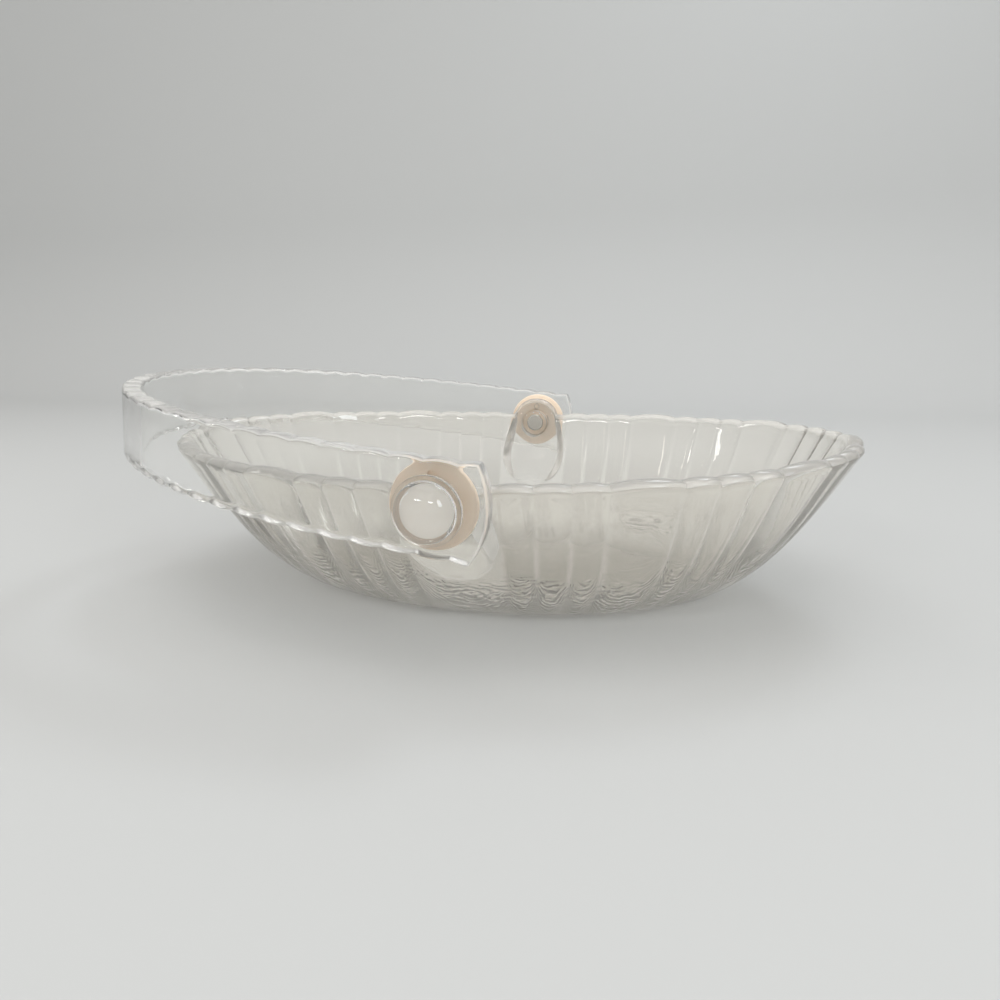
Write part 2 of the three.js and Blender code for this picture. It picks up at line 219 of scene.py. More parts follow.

# Glass: tint, with painted shade darker on a lobe's thick middle and in the lower wall, painted light paler
# again at the foot, and painted shade on the wrinkles' crests
# painted shade: how it grows towards the bottom, how it grows from the grooves to the lobes' middles, and the
# share of it kept at the rim
SHADE_TOP_FADE = (0.054, 0.030)
SHADE_GROOVE_FADE = (0, 0.5)
SHADE_AT_RIM = 0.25
# painted light: the foot is painted paler over this range of height, by this share
LIT_FOOT_FADE = (0.026, 0.013)
LIT_AT_FOOT = 0.75
GLASS_CLEAR = (0.985, 0.963, 0.918, 1)
# colour of the painted shade on the lobes and the lower wall
GLASS_SHADED = (0.71, 0.685, 0.635, 1)
# colour of the painted shade on the wrinkles' crests
GLASS_WRINKLE_SHADE = (0.805, 0.78, 0.725, 1)

# Clear finishes: refractive index, and the share of light that goes in and isn't scattered as by milk
GLASS_INDEX = 1.52
ACRYLIC_INDEX = 1.49
GLASS_CLARITY = 0.85
ACRYLIC_CLARITY = 0.98
FROST_CLARITY = 0.25
RIM_CLARITY = 0.70
LUG_SIDE_CLARITY = 0.76
EDGE_CLARITY = 0.68
FLAMED_GLASS = (0.99, 0.965, 0.915, 1)
CLEAR_ACRYLIC = (0.985, 0.985, 0.975, 1)
FLAMED_ACRYLIC = (0.99, 0.975, 0.945, 1)
FROST_DARK = (0.95, 0.90, 0.82, 1)
FROST_PALE = (0.98, 0.94, 0.88, 1)

# Vinyl
VINYL_INDEX = 1.5
VINYL_CLARITY = 0.0
VINYL_DARK = (1.0, 0.77, 0.58, 1)
VINYL_PALE = (1.0, 0.87, 0.72, 1)

# Stage, in metres: a floor that bends up into a wall
FLOOR_LEVEL = -0.0002
FLOOR_LINES = (-1.6, -0.4, 0.0, 0.62)  # places along Y; the bend starts at the last
BEND_RADIUS = 0.28
BEND_STEPS = 12
WALL_TOP = 0.8
STAGE_HALF_WIDTH = 4.0
PAPER = (0.55, 0.555, 0.55, 1)

# Light: the sky's colours, and lamps as name, place, target, size, power and colour, in metres and watts
SKY_LOW = (0.79, 0.79, 0.78, 1)
SKY_HIGH = (0.88, 0.87, 0.85, 1)
WARM_WHITE = (1.0, 0.99, 0.97)
LAMPS = (
    ("overhead", (-0.05, -0.15, 0.9), (0, 0, 0), (0.8, 0.4), 1.2, WARM_WHITE),
    ("window", (0.75, -0.75, 0.55), (0.05, 0, 0.03), (0.25, 0.4), 2.4, (0.90, 0.96, 1.0)),
    ("side", (-0.95, -0.25, 0.45), (-0.05, 0, 0.03), (0.06, 0.6), 1.0, (1.0, 0.98, 0.95)),
    ("front_left", (-0.5, -1.2, 0.78), (0, 0, 0.05), (0.34, 0.04), 1.3, WARM_WHITE),
    ("front_right", (0.35, -1.25, 0.72), (0, 0, 0.05), (0.3, 0.04), 1.2, WARM_WHITE),
    ("behind", (0.35, 0.6, 1.05), (0, 0, 0.02), (0.4, 0.25), 2.2, (0.88, 0.94, 1.0)),
)
LIGHT_BOUNCES = 32

# Camera, as the photograph was taken: place in millimetres, turns in radians
CAMERA_PLACE = (68.99, -311.46, 118.03)
CAMERA_YAW = -0.221
CAMERA_PITCH = 0.248
CAMERA_ROLL = -0.010
CAMERA_FOCAL_SHARE = 0.72  # of the picture's width
SENSOR_WIDTH = 36


# Meshes

def smooth(mesh, sharp_degrees):
    mesh.polygons.foreach_set("use_smooth", [True] * len(mesh.polygons))
    mesh.set_sharp_from_angle(angle=math.radians(sharp_degrees))
    mesh.update()


def new_object(name, points, faces, sharp_degrees=40):
    """Object from points in millimetres, smooth except at edges sharper than the angle."""
    mesh = bpy.data.meshes.new(name)
    mesh.from_pydata((np.asarray(points) * MM).tolist(), [], faces)
    mesh.validate()
    smooth(mesh, sharp_degrees)
    piece = bpy.data.objects.new(name, mesh)
    bpy.context.scene.collection.objects.link(piece)
    return piece


def ring_quads(rows, around, closed_rows=False):
    """Faces of a grid of closed rings; the last ring joins the first if closed_rows."""
    here = np.arange(around)
    after = (here + 1) % around
    faces = []
    for row in range(rows if closed_rows else rows - 1):
        low = row * around
        high = ((row + 1) % rows) * around
        faces.append(np.stack([low + here, low + after, high + after, high + here], axis=1))
    return np.concatenate(faces).tolist()


def loft(name, rings, sharp_degrees=40):
    """Skin over rings of points that run counter-clockwise, each end closed by a fan."""
    rows, around, _ = rings.shape
    middles = [rings[0].mean(0), rings[-1].mean(0)]
    points = np.concatenate([rings.reshape(-1, 3), middles])
    faces = ring_quads(rows, around)
    first_middle = rows * around
    last_ring = (rows - 1) * around
    for i in range(around):
        after = (i + 1) % around
        faces.append([first_middle, after, i])
        faces.append([first_middle + 1, last_ring + i, last_ring + after])
    return new_object(name, points, faces, sharp_degrees)


def fillet_arc(here, before, after, fillet):
    """Points of an arc that rounds the corner at here, between its two neighbours."""
    back = (before - here) / np.linalg.norm(before - here)
    on = (after - here) / np.linalg.norm(after - here)
    half = math.acos(float(np.clip(back @ on, -1, 1))) / 2
    start = here + back * fillet / math.tan(half)
    end = here + on * fillet / math.tan(half)
    middle = here + (back + on) / np.linalg.norm(back + on) * fillet / math.sin(half)
    arc = []
    for share in np.linspace(0, 1, FILLET_STEPS + 1):
        spoke = (start - middle) * (1 - share) + (end - middle) * share
        arc.append(middle + spoke / np.linalg.norm(spoke) * fillet)
    return arc


def rounded_profile(corners):
    """Profile through corners of radius, place along the axis and fillet; each fillet becomes an arc."""
    places = [np.array(corner[:2]) for corner in corners]
    out = []
    for i, corner in enumerate(corners):
        if corner[2] == 0:
            out.append(places[i])
        else:
            out += fillet_arc(places[i], places[i - 1], places[(i + 1) % len(places)], corner[2])
    return np.array(out)


def turned(name, profile, side, segments, closed=False, above=0):
    """Profile turned about the pivot axis, or above it, on the +Y or -Y side; closed if it is a loop."""
    turn = np.linspace(0, 2 * math.pi, segments, endpoint=False)
    radius = profile[:, 0][:, None]
    along = profile[:, 1][:, None]
    x = radius * np.cos(turn)
    y = side * along + 0 * turn
    z = PIVOT_HEIGHT + above - side * radius * np.sin(turn)
    rings = np.stack([x, y, z], axis=2)
    if not closed:
        return loft(name, rings)
    return new_object(name, rings.reshape(-1, 3), ring_quads(len(profile), segments, True))


def cut(piece, cutters, operation="DIFFERENCE", sharp_degrees=40):
    """Cuts the cutters out of the piece, or joins them to it, and removes them."""
    for cutter in cutters:
        modifier = piece.modifiers.new("cut", "BOOLEAN")
        modifier.object = cutter
        modifier.operation = operation
        modifier.solver = "EXACT"
    bpy.context.view_layer.update()
    evaluated = piece.evaluated_get(bpy.context.evaluated_depsgraph_get())
    result = bpy.data.meshes.new_from_object(evaluated)
    piece.modifiers.clear()
    piece.data = result
    for cutter in cutters:
        bpy.data.objects.remove(cutter)
    smooth(result, sharp_degrees)
    return piece


def joined(piece, shell):
    """The piece with another closed shell added to its mesh."""
    both = bmesh.new()
    both.from_mesh(piece.data)
    both.from_mesh(shell.data)
    both.to_mesh(piece.data)
    both.free()
    bpy.data.objects.remove(shell)
    return piece


def finish_with(piece, finishes):
    for finish in finishes:
        piece.data.materials.append(finish)


def soft_max(a, b, width):
    """The larger of the two, with the crease between them rounded over the given width."""
    overlap = np.maximum(width - np.abs(a - b), 0) / width
    return np.maximum(a, b) + overlap ** 2 * width / 4


# Bowl

def quarter_arc():
    """Turns from the middle of a long side to the end of the oval, and the length along the rim to each."""
    turn = np.linspace(0, math.pi / 2, ARC_STEPS)
    speed = np.hypot(RIM_HALF_LENGTH * np.cos(turn), RIM_HALF_WIDTH * np.sin(turn))
    steps = (speed[1:] + speed[:-1]) / 2 * np.diff(turn)
    return turn, np.concatenate([[0], np.cumsum(steps)])


def lobe_shares(wide, cut_short):
    """Places of a lobe's columns as shares of its width, closest together at its grooves."""
    count = WIDE_COLUMNS if wide else NARROW_COLUMNS
    share = (1 - np.cos(math.pi * np.arange(count) / count)) / 2
    return share[:count // 2 + 1] if cut_short else share


def quarter_columns():
    """Angle, lobe rise and scallop rise of the columns from the middle of a long side to the end."""
    turn, arc = quarter_arc()
    length = arc[-1]
    spans = GROUPS_PER_QUARTER * NARROW_PER_GROUP + (GROUPS_PER_QUARTER - 0.5) * WIDE_SPAN
    narrow = (length - LUG_PANEL_HALF) / spans
    edge = LUG_RADIUS - LUG_EDGE_MARGIN
    along = list(np.linspace(0, edge, PANEL_COLUMNS, endpoint=False))
    along += list(np.linspace(edge, LUG_PANEL_HALF, LUG_EDGE_COLUMNS, endpoint=False))
    lobe = [0.0] * len(along)
    scallop = [0.0] * len(along)
    start = LUG_PANEL_HALF
    for group in range(GROUPS_PER_QUARTER):
        for place in range(NARROW_PER_GROUP + 1):
            wide = place == NARROW_PER_GROUP
            span = narrow * (WIDE_SPAN if wide else 1)
            at_end = wide and group == GROUPS_PER_QUARTER - 1  # this lobe goes on in the next quarter
            share = lobe_shares(wide, cut_short=at_end)
            rise = 1 - np.abs(2 * share - 1) ** LOBE_POWER
            along += list(start + span * share)
            lobe += list(rise * (WIDE_LOBE if wide else NARROW_LOBE))
            scallop += list(rise * (WIDE_SCALLOP if wide else NARROW_SCALLOP))
            start += span
    angle = math.pi / 2 - np.interp(np.minimum(along, length), arc, turn)
    return np.stack([angle, lobe, scallop])


def oval_columns():
    """The whole oval's columns, counter-clockwise from the +X end, with the heights of rim and shoulder."""
    quarter = quarter_columns()
    to_side = quarter[:, ::-1]
    parts = []
    for columns, base, sign in ((to_side, 0, 1), (quarter, math.pi, -1),
                                (to_side, math.pi, 1), (quarter, 2 * math.pi, -1)):
        part = columns[:, :-1].copy()
        part[0] = base + sign * part[0]
        parts.append(part)
    angle, lobe, scallop = np.concatenate(parts, axis=1)
    rim = RIM_HEIGHT_AT_SIDES + RIM_SHEER * np.cos(angle) ** 2 + scallop
    x_rim = RIM_HALF_LENGTH * np.cos(angle)
    ear = PIVOT_HEIGHT + np.sqrt(np.maximum(LUG_RADIUS ** 2 - x_rim ** 2, 0))
    top = soft_max(rim, np.where(np.abs(x_rim) < LUG_RADIUS, ear, 0), LUG_TOP_FILLET)
    return SimpleNamespace(angle=angle, lobe=lobe, rim=rim, x_rim=x_rim, shoulder=top - LIP_ROUND)


def oval_points(half_length, half_width, angle, outward):
    """Points of an oval, moved out square to it."""
    nx = np.cos(angle) / half_length
    ny = np.sin(angle) / half_width
    size = np.hypot(nx, ny)
    x = half_length * np.cos(angle) + outward * nx / size
    y = half_width * np.sin(angle) + outward * ny / size
    return x, y


def leaning(angle, level):
    """Angle of the columns at a level that runs from 0 at the foot to 1 at the rim."""
    return angle - LOBE_LEAN * (1 - level) * np.sin(2 * angle)


def lug_outline(x, z):
    """How far a place lies outside the lug's outline: a round top, spreading sides and a bowed bottom."""
    half = LUG_RADIUS + LUG_SPREAD
    side_bottom = PIVOT_HEIGHT - LUG_SIDE_BELOW_PIVOT
    top = np.hypot(x, z - PIVOT_HEIGHT) - LUG_RADIUS
    sides = np.abs(x) - LUG_RADIUS - LUG_SPREAD * (PIVOT_HEIGHT - z) / LUG_SIDE_BELOW_PIVOT
    ellipse = (x / half) ** 2 + ((z - side_bottom) / LUG_BOTTOM_BOW) ** 2 - 1
    slope = 2 * np.hypot(x / half ** 2, (z - side_bottom) / LUG_BOTTOM_BOW ** 2) + 1e-6
    return np.where(z > PIVOT_HEIGHT, top, np.where(z > side_bottom, sides, ellipse / slope))


def lug_reach(x, z):
    """How far out the lug's surface stands: flat round the pivot, then a tail that curls in to the wall."""
    flat_bottom = PIVOT_HEIGHT - LUG_FLAT_BELOW_PIVOT
    tail_drop = flat_bottom - FOOT_HEIGHT - (RIM_HEIGHT_AT_SIDES - FOOT_HEIGHT) * LUG_TAIL_LEVEL
    wall_spread = RIM_HALF_WIDTH - FOOT_HALF_WIDTH - LIP_FLARE
    tail_end = FOOT_HALF_WIDTH + wall_spread * LUG_TAIL_LEVEL ** WALL_POWER
    below = np.maximum(flat_bottom - z, 0)
    curl = tail_drop - 2 * LUG_TAIL_BEND
    share = (np.sqrt(LUG_TAIL_BEND ** 2 + curl * below) - LUG_TAIL_BEND) / curl
    reach = LUG_FACE - (LUG_FACE - tail_end + LIP_OPEN) * share ** 2
    outside = lug_outline(x, z)
    past = soft_max(outside, 0 * outside, LUG_EDGE_ROUND * 2)
    return reach - LUG_SIDE_SLOPE * past


def outside_ring(columns, share):
    """Ring of the outer wall, with the lugs grown out of it, at a share of the way up to the lip."""
    z = FOOT_HEIGHT + (columns.shoulder - FOOT_HEIGHT) * share
    level = np.clip((z - FOOT_HEIGHT) / (columns.rim - FOOT_HEIGHT), 0, 1)
    spread = level ** WALL_POWER
    flare = LIP_FLARE * (level ** LIP_FLARE_POWER - spread)
    half_length = FOOT_HALF_LENGTH + (RIM_HALF_LENGTH - FOOT_HALF_LENGTH) * spread + flare
    half_width = FOOT_HALF_WIDTH + (RIM_HALF_WIDTH - FOOT_HALF_WIDTH) * spread + flare
    bulge = columns.lobe * (LOBE_AT_FOOT + (1 - LOBE_AT_FOOT) * level)
    x, y = oval_points(half_length, half_width, leaning(columns.angle, level), bulge)
    near_lug = (np.abs(x) < LUG_ZONE_HALF) & (level > LUG_TAIL_LEVEL / 2)
    with_lug = soft_max(np.abs(y), lug_reach(x, z), LUG_FILLET)
    y = np.where(near_lug, np.sign(y) * with_lug, y)
    return np.stack([x, y, z], axis=1)


def inside_ring(columns, share):
    """Ring of the smooth inner wall at a share of the way from the floor up to the lip."""
    z = FLOOR_THICKNESS + (columns.shoulder - FLOOR_THICKNESS) * share
    level = np.clip((z - FLOOR_THICKNESS) / (columns.rim - FLOOR_THICKNESS), 0, 1)
    spread = level ** WALL_POWER
    floor_length = FOOT_HALF_LENGTH - FLOOR_INSET
    floor_width = FOOT_HALF_WIDTH - FLOOR_INSET
    half_length = floor_length + (RIM_HALF_LENGTH - LIP_WIDTH - floor_length) * spread
    half_width = floor_width + (RIM_HALF_WIDTH - LIP_WIDTH - floor_width) * spread
    opened = LIP_OPEN * np.clip((level - LIP_OPEN_FROM) / (1 - LIP_OPEN_FROM), 0, 1) ** 2
    x, y = oval_points(half_length, half_width, leaning(columns.angle, level), opened)
    return np.stack([x, y, z], axis=1)


def foot_ring(columns, share, inset, z):
    """Ring of the underside: the foot's oval, moved in and then shrunk to a share of its size."""
    x, y = oval_points(FOOT_HALF_LENGTH, FOOT_HALF_WIDTH, leaning(columns.angle, 0), -inset)
    return np.stack([x * share, y * share, z + 0 * x], axis=1)


def floor_ring(columns, share):
    """Ring of the floor inside, at a share of the floor's size."""
    half_length = FOOT_HALF_LENGTH - FLOOR_INSET
    half_width = FOOT_HALF_WIDTH - FLOOR_INSET
    x, y = oval_points(half_length, half_width, leaning(columns.angle, 0), 0)
    return np.stack([x * share, y * share, FLOOR_THICKNESS + 0 * x], axis=1)


def lip_rings(columns, outer, inner):
    """Rings over the rounded lip, from the top of the outer wall to the top of the inner one."""
    middle = (outer + inner) / 2
    half = (outer - inner) / 2
    rings = []
    for step in range(1, LIP_STEPS):
        turn = math.pi * step / LIP_STEPS
        over = math.copysign(abs(math.cos(turn)) ** LIP_FULLNESS, math.cos(turn))
        ring = middle + half * over
        ring[:, 2] = columns.shoulder + LIP_ROUND * math.sin(turn) ** LIP_FULLNESS
        rings.append(ring)
    return rings


def bowl_rings(columns):
    rings = [foot_ring(columns, share, FOOT_EDGE_ROUND, 0) for share in FOOT_SHARES]
    for turn in np.linspace(0, math.pi / 2, FOOT_EDGE_STEPS):
        inset = FOOT_EDGE_ROUND * (1 - math.sin(turn))
        height = FOOT_EDGE_ROUND * (1 - math.cos(turn))
        rings.append(foot_ring(columns, 1, inset, height))
    for share in np.linspace(0, 1, WALL_ROWS) ** ROW_POWER:
        rings.append(outside_ring(columns, share))
    rings += lip_rings(columns, rings[-1], inside_ring(columns, 1))
    for share in np.linspace(1, 0, INNER_ROWS) ** ROW_POWER:
        rings.append(inside_ring(columns, share))
    rings += [floor_ring(columns, share) for share in FLOOR_SHARES]
    return np.stack(rings)


def mark_wall(bowl, columns, rows):
    """Notes on each point how far its lobe stands out and how far wrinkles sag there, outside only."""
    rise = columns.lobe / WIDE_LOBE
    panel = np.clip(1 - (columns.x_rim / LUG_PANEL_HALF) ** 2, 0, 1)
    outside = (np.arange(rows) < FIRST_LIP_ROW)[:, None]
    for name, values in (("lobe_rise", rise), ("wrinkle_sag", np.maximum(rise, panel))):
        attribute = bowl.data.attributes.new(name, "FLOAT", "POINT")
        attribute.data.foreach_set("value", np.append(outside * values, [0, 0]))


def share_out_finishes(bowl, around):
    """Gives the flamed rim and worn foot the second finish, and the lugs' sides the third."""
    for face in bowl.data.polygons:
        row = face.index // around
        by_lug = abs(face.center.x) < LUG_PANEL_HALF * MM and row < FIRST_LIP_ROW
        if row in WORN_FOOT_ROWS or row in FLAMED_RIM_ROWS:
            face.material_index = 1
        elif by_lug and abs(face.normal.x) > FACING_AN_EDGE:
            face.material_index = 2


def lug_cutters(side):
    """What is cut from a lug: the stud's bore, the nut's recess from inside and the pip's dimple."""
    out = LUG_FACE + LUG_WEB
    deep = RECESS_FACE - LUG_WEB
    wide = BORE_RADIUS + LUG_BORE_CHAMFER
    bore = [(ON_AXIS, deep, 0), (BORE_RADIUS, deep, 0), (BORE_RADIUS, LUG_FACE - LUG_BORE_CHAMFER, 0),
            (wide, LUG_FACE, 0), (wide, out, 0), (ON_AXIS, out, 0)]
    back = RIM_HALF_WIDTH - RECESS_CUT_DEPTH
    recess = [(ON_AXIS, back, 0), (RECESS_RADIUS, back, 0), (RECESS_RADIUS, RECESS_FACE, RECESS_FILLET),
              (ON_AXIS, RECESS_FACE, 0)]
    floor = WASHER_SEAT - PIP_LENGTH - SEAT_GAP
    radius = PIP_RADIUS + BORE_CLEARANCE
    dimple = [(ON_AXIS, floor, 0), (radius, floor, FINE_FILLET), (radius, out, 0), (ON_AXIS, out, 0)]
    return [turned("bore", rounded_profile(bore), side, BORE_SEGMENTS),
            turned("recess", rounded_profile(recess), side, BORE_SEGMENTS),
            turned("dimple", rounded_profile(dimple), side, PIP_SEGMENTS, above=PIP_ABOVE_PIVOT)]


def make_bowl(*finishes):
    columns = oval_columns()
    rings = bowl_rings(columns)
    bowl = loft("basket_bowl", rings)
    mark_wall(bowl, columns, len(rings))
    cutters = lug_cutters(1) + lug_cutters(-1)
    finish_with(bowl, finishes)
    share_out_finishes(bowl, rings.shape[1])
    return cut(bowl, cutters)


# Handle

def handle_line():
    """Points along the middle of the strip, seen from above with the arch towards -X."""
    start = np.array([-WASHER_RADIUS, -HANDLE_MIDDLE])
    leg_pull = np.array([-ARCH_REACH * ARCH_LEG_PULL, -HANDLE_MIDDLE])
    top_pull = np.array([-ARCH_REACH, -HANDLE_MIDDLE * ARCH_TOP_PULL])
    top = np.array([-ARCH_REACH, 0])
    share = np.linspace(0, 1, ARCH_STEPS)[:, None]
    left = 1 - share
    bend = left ** 3 * start + 3 * share * left ** 2 * leg_pull
    bend = bend + 3 * share ** 2 * left * top_pull + share ** 3 * top
    x = np.linspace(HANDLE_END_PAST_PIVOT, -WASHER_RADIUS, LEG_STEPS)
    straight = np.stack([x, np.full(LEG_STEPS, -HANDLE_MIDDLE)], axis=1)
    half = np.concatenate([straight[:-1], bend])
    return np.concatenate([half, (half * [1, -1])[::-1][1:]])


def handle_stations(length, scallops):
    """Distances along the strip that get a ring, closest together at the round ends."""
    full_width_turn = math.asin(HANDLE_WIDTH_AT_PIVOT / 2 / HANDLE_END_RADIUS)
    end = HANDLE_END_RADIUS * (1 - np.cos(np.linspace(END_FIRST_TURN, full_width_turn, END_STEPS)))
    first = end[-1] + END_TO_BODY
    body = np.linspace(first, length - first, scallops * STEPS_PER_SCALLOP)
    return np.concatenate([end, body, (length - end)[::-1]])


def handle_half_width(distance, length, scallops, from_end):
    """Half the strip's width at a distance along it, with scallops and round ends."""
    towards_top = math.sin(math.pi * distance / length)
    width = HANDLE_WIDTH_AT_PIVOT + (HANDLE_WIDTH_AT_TOP - HANDLE_WIDTH_AT_PIVOT) * towards_top
    share = (distance / length * scallops) % 1
    half_width = width / 2 - SCALLOP_DEPTH * (2 * share - 1) ** 2
    if from_end > 0:
        chord = math.sqrt(max(HANDLE_END_RADIUS ** 2 - from_end ** 2, LEAST_HALF_WIDTH ** 2))
        half_width = min(half_width, chord)
    return half_width


def handle_ring(middle, outward, half_width, from_end):
    """Section of the strip with rounded edges: down its inner face and up its outer one."""
    up = np.sin(np.linspace(-math.pi / 2, math.pi / 2, STEPS_ACROSS)) * half_width
    to_edge = half_width - np.abs(up)
    if from_end > 0:
        to_edge = np.minimum(to_edge, HANDLE_END_RADIUS - np.hypot(from_end, up))
    lack = HANDLE_EDGE_ROUND - np.clip(to_edge, 0, HANDLE_EDGE_ROUND)
    thick = HANDLE_THICKNESS / 2 - HANDLE_EDGE_ROUND + np.sqrt(HANDLE_EDGE_ROUND ** 2 - lack ** 2)
    outer = [[*(middle + outward * out), z] for out, z in zip(thick, up)]
    inner = [[*(middle - outward * out), z] for out, z in zip(thick, up)]
    return inner[::-1] + outer


def handle_rings():
    """Sections along the strip as it lies level, with the pivot axis at height 0."""
    line = handle_line()
    arc = np.concatenate([[0], np.cumsum(np.linalg.norm(np.diff(line, axis=0), axis=1))])
    length = arc[-1]
    scallops = 2 * round(length / SCALLOP_PITCH / 2)

    def place(distance):
        return np.array([np.interp(distance, arc, line[:, axis]) for axis in (0, 1)])

    rings = []
    for distance in handle_stations(length, scallops):
        ahead = place(min(distance + TANGENT_REACH, length))
        behind = place(max(distance - TANGENT_REACH, 0))
        tangent = (ahead - behind) / np.linalg.norm(ahead - behind)
        outward = np.array([tangent[1], -tangent[0]])
        from_end = HANDLE_END_RADIUS - min(distance, length - distance)  # left to the centre of the end's arc
        half_width = handle_half_width(distance, length, scallops, from_end)
        rings.append(handle_ring(place(distance), outward, half_width, from_end))
    return np.array(rings)


def make_handle(*finishes):
    """Strip swung to its rest angle; its long edges and round ends get the second finish."""
    rings = handle_rings()
    cosine = math.cos(REST_ANGLE)
    sine = math.sin(REST_ANGLE)
    x = rings[..., 0].copy()
    z = rings[..., 2].copy()
    rings[..., 0] = x * cosine + z * sine
    rings[..., 2] = PIVOT_HEIGHT - x * sine + z * cosine
    handle = loft("basket_handle", rings, sharp_degrees=50)
    finish_with(handle, finishes)
    up = Vector((sine, 0, cosine))
    ahead = Vector((cosine, 0, -sine))
    for face in handle.data.polygons:
        past_pivot = face.center.x > HANDLE_END_PAST_PIVOT / 2 * MM
        at_end = past_pivot and abs(face.normal.dot(ahead)) > FACING_AN_EDGE
        face.material_index = int(at_end or abs(face.normal.dot(up)) > FACING_AN_EDGE)
    return cut(handle, [handle_bore(1), handle_bore(-1)], sharp_degrees=50)


def handle_bore(side):
    near = HANDLE_INSIDE
    far = HANDLE_OUTSIDE
    wide = BORE_RADIUS + HANDLE_BORE_CHAMFER
    corners = [(ON_AXIS, near - CUTTER_SLACK, 0), (wide, near - CUTTER_SLACK, 0), (wide, near, 0),
               (BORE_RADIUS, near + HANDLE_BORE_CHAMFER, 0), (BORE_RADIUS, far - HANDLE_BORE_CHAMFER, 0),
               (wide, far, 0), (wide, far + CUTTER_SLACK, 0), (ON_AXIS, far + CUTTER_SLACK, 0)]
    return turned("bore", rounded_profile(corners), side, BORE_SEGMENTS)


# Pivots

def make_knob(name, side, *finishes):
    """Clear domed cap with a frosted back, and the frosted shank behind it as a shell of its own."""
    flange_top = KNOB_SEAT + KNOB_FLANGE
    dome_radius = KNOB_RADIUS - KNOB_SHOULDER
    corners = [(ON_AXIS, KNOB_SEAT, 0), (KNOB_FROST_RADIUS, KNOB_SEAT, 0),
               (KNOB_RADIUS, KNOB_SEAT, EDGE_FILLET), (KNOB_RADIUS, flange_top, FLANGE_FILLET),
               (dome_radius, flange_top, 0)]
    turn = np.linspace(0, math.pi / 2, DOME_STEPS)
    dome = np.stack([dome_radius * np.cos(turn), flange_top + KNOB_DOME * np.sin(turn)], axis=1)
    dome[-1, 0] = ON_AXIS
    profile = np.concatenate([rounded_profile(corners)[:-1], dome])
    shank_top = KNOB_SEAT - SHANK_JOIN
    bar = [(ON_AXIS, SHANK_END, 0), (SHANK_RADIUS, SHANK_END, EDGE_FILLET), (SHANK_RADIUS, shank_top, 0),
           (ON_AXIS, shank_top, 0)]
    shank = turned("shank", rounded_profile(bar), side, BORE_SEGMENTS)
    knob = joined(turned(name, profile, side, DISC_SEGMENTS), shank)
    finish_with(knob, finishes)
    frosted_to = (KNOB_SEAT + SHANK_JOIN) * MM
    for face in knob.data.polygons:
        from_axis = math.hypot(face.center.x, face.center.z - PIVOT_HEIGHT * MM)
        face.material_index = int(abs(face.center.y) < frosted_to and from_axis < KNOB_FROST_RADIUS * MM)
    return knob


def make_outer_washer(name, side, finish):
    """Disc with a peg on its inner face and the sink mark above it on the outer one."""
    near = WASHER_SEAT
    far = WASHER_SEAT + WASHER_THICKNESS
    loop = [(BORE_RADIUS, near, 0), (WASHER_RADIUS, near, EDGE_FILLET), (WASHER_RADIUS, far, EDGE_FILLET),
            (BORE_RADIUS, far, FINE_FILLET)]
    washer = turned(name, rounded_profile(loop), side, DISC_SEGMENTS, closed=True)
    finish_with(washer, [finish])
    root = near + WASHER_THICKNESS / 2
    tip = near - PIP_LENGTH
    peg = [(ON_AXIS, tip, 0), (PIP_RADIUS, tip, PIP_FILLET), (PIP_RADIUS, root, 0), (ON_AXIS, root, 0)]
    pip = turned("pip", rounded_profile(peg), side, PIP_SEGMENTS, above=PIP_ABOVE_PIVOT)
    floor = far - PIP_MARK_DEPTH
    out = far + PIP_MARK_DEPTH
    sink = [(ON_AXIS, floor, 0), (PIP_MARK_RADIUS, floor, PIP_MARK_FILLET), (PIP_MARK_RADIUS, out, 0),
            (ON_AXIS, out, 0)]
    mark = turned("mark", rounded_profile(sink), side, PIP_SEGMENTS, above=PIP_MARK_ABOVE_PIVOT)
    return cut(cut(washer, [pip], "UNION"), [mark])


def make_inner_washer(name, side, finish):
    near = INNER_WASHER_SEAT
    far = INNER_WASHER_SEAT + INNER_WASHER_THICKNESS
    loop = [(BORE_RADIUS, near, 0), (NUT_RADIUS, near, FINE_FILLET), (NUT_RADIUS, far, FINE_FILLET),
            (BORE_RADIUS, far, 0)]
    washer = turned(name, rounded_profile(loop), side, BORE_SEGMENTS, closed=True)
    finish_with(washer, [finish])
    return washer


def make_cap_nut(name, side, finish):
    back = NUT_FACE - NUT_THICKNESS
    bottom = back + NUT_END_WALL
    corners = [(ON_AXIS, back, 0), (NUT_RADIUS, back, NUT_BACK_FILLET),
               (NUT_RADIUS, NUT_FACE, FINE_FILLET), (BORE_RADIUS, NUT_FACE, NUT_BORE_FILLET),
               (BORE_RADIUS, bottom, FINE_FILLET), (ON_AXIS, bottom, 0)]
    nut = turned(name, rounded_profile(corners), side, BORE_SEGMENTS)
    finish_with(nut, [finish])
    return nut


# Shader nodes

def principled(name):
    material = bpy.data.materials.new(name)
    material.use_nodes = True
    return material, material.node_tree, material.node_tree.nodes["Principled BSDF"]


def clear_principled(name, clarity, index):
    material, tree, shader = principled(name)
    shader.inputs["Transmission Weight"].default_value = clarity
    shader.inputs["IOR"].default_value = index
    return material, tree, shader


def node(tree, kind, inputs=None, **settings):
    made = tree.nodes.new(kind)
    for key, value in settings.items():
        setattr(made, key, value)
    for key, value in (inputs or {}).items():
        made.inputs[key].default_value = value
    return made


def place_noise(tree, scale, detail):
    """Noise fixed to the piece, in object space, with scale in waves per metre."""
    where = node(tree, "ShaderNodeTexCoord")
    noise = node(tree, "ShaderNodeTexNoise", {"Scale": scale, "Detail": detail})
    tree.links.new(where.outputs["Object"], noise.inputs["Vector"])
    return noise.outputs["Fac"]


